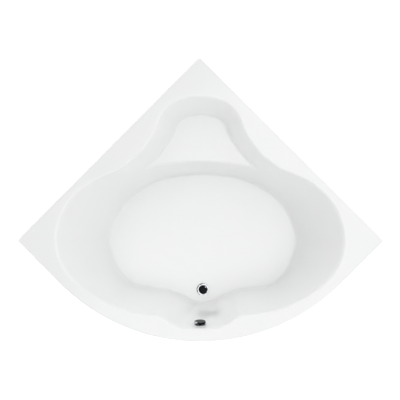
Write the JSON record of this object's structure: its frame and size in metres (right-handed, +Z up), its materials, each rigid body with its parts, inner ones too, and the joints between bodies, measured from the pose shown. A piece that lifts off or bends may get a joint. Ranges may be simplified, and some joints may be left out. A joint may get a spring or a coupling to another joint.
{
  "type": "corner bathtub",
  "caption": "White acrylic corner bathtub with a bow front, moulded corner seat, pop-up waste worked by a rotary overflow knob, steel cradle and screw feet.",
  "frame": {"origin": "on the floor, under the middle of the rim outline's box", "axes": "+Z up, +Y towards the back corner between the two walls, -Y towards the bow front, +X to the right seen from the front"},
  "size_m": [1.9698, 1.5298, 0.58],
  "materials": {
    "acrylic": "glossy white sanitary acrylic, backed with glass-fibre laminate",
    "chipboard": "raw moisture-proof chipboard",
    "pine": "planed pine",
    "galvanised": "galvanised steel",
    "zinc_steel": "zinc-plated steel",
    "painted_steel": "light grey powder coat",
    "foot_plastic": "black nylon",
    "white_plastic": "white plastic",
    "pipe_plastic": "white polypropylene",
    "grey_plastic": "grey plastic",
    "chrome": "polished chrome plate",
    "rubber": "black rubber",
    "brass": "turned brass",
    "cable_sheath": "grey cable sheath"
  },
  "bodies": {
    "root": {"tub_shell": "acrylic", "base_board": "chipboard", "seat_board": "chipboard", "rim_batten_left": "pine", "rim_batten_right": "pine", "bow_batten": "pine", "bow_panel": "acrylic", "panel_stay_left": "galvanised", "panel_stay_right": "galvanised", "panel_screws": "zinc_steel", "panel_screw_caps": "white_plastic", "cradle_front": "galvanised", "cradle_back": "galvanised", "cradle_screws": "zinc_steel", "foot_nuts": "zinc_steel", "seat_post": "painted_steel", "seat_post_bush": "foot_plastic", "seat_post_screws": "zinc_steel", "wall_bracket_screws": "zinc_steel", "waste_flange": "chrome", "waste_seal": "rubber", "waste_gasket": "rubber", "waste_body": "pipe_plastic", "lever_pin": "brass", "overflow_seal": "rubber", "overflow_body": "pipe_plastic", "overflow_plate": "chrome", "overflow_pipe": "pipe_plastic", "pipe_nut_upper": "grey_plastic", "pipe_nut_lower": "grey_plastic", "lift_cable": "cable_sheath", "cable_clip": "grey_plastic", "trap_body": "pipe_plastic", "trap_nut": "grey_plastic", "trap_cap": "grey_plastic", "wall_bracket_left_inner": "galvanised", "wall_bracket_left_outer": "galvanised", "wall_bracket_right_inner": "galvanised", "wall_bracket_right_outer": "galvanised"},
    "knob": {"overflow_knob": "chrome", "knob_spindle": "brass"},
    "plug": {"plug_cap": "chrome", "plug_seal": "rubber", "plug_stem": "brass"},
    "lever": {"lift_lever": "grey_plastic"},
    "foot_1": {"foot_rod_1": "zinc_steel", "foot_pad_1": "foot_plastic"},
    "foot_2": {"foot_rod_2": "zinc_steel", "foot_pad_2": "foot_plastic"},
    "foot_3": {"foot_rod_3": "zinc_steel", "foot_pad_3": "foot_plastic"},
    "foot_4": {"foot_rod_4": "zinc_steel", "foot_pad_4": "foot_plastic"},
    "foot_5": {"foot_rod_5": "zinc_steel", "foot_pad_5": "foot_plastic"}
  },
  "joints": [
    {"name": "knob_turn", "type": "hinge", "parent": "root", "child": "knob", "pos_m": [0, -0.67763, 0.50479], "axis": [0, 0.9657, 0.2598], "range_deg": [0, 90]},
    {"name": "plug_lift", "type": "slide", "parent": "root", "child": "plug", "axis": [0, 0, 1], "range_m": [0, 0.00801]},
    {"name": "lever_rock", "type": "hinge", "parent": "root", "child": "lever", "pos_m": [-0.018, -0.50803, 0.11], "axis": [0, -1, 0], "range_deg": [0, 24.01]},
    {"name": "foot_1_screw", "type": "slide", "parent": "root", "child": "foot_1", "axis": [0, 0, -1], "range_m": [0, 0.015]},
    {"name": "foot_2_screw", "type": "slide", "parent": "root", "child": "foot_2", "axis": [0, 0, -1], "range_m": [0, 0.015]},
    {"name": "foot_3_screw", "type": "slide", "parent": "root", "child": "foot_3", "axis": [0, 0, -1], "range_m": [0, 0.015]},
    {"name": "foot_4_screw", "type": "slide", "parent": "root", "child": "foot_4", "axis": [0, 0, -1], "range_m": [0, 0.015]},
    {"name": "foot_5_screw", "type": "slide", "parent": "root", "child": "foot_5", "axis": [0, 0, -1], "range_m": [0, 0.015]}
  ],
  "couplings": [
    {"joint": "plug_lift", "follows": "knob_turn", "m_per_rad": 0.005093},
    {"joint": "lever_rock", "follows": "knob_turn", "ratio": 0.26667}
  ]
}
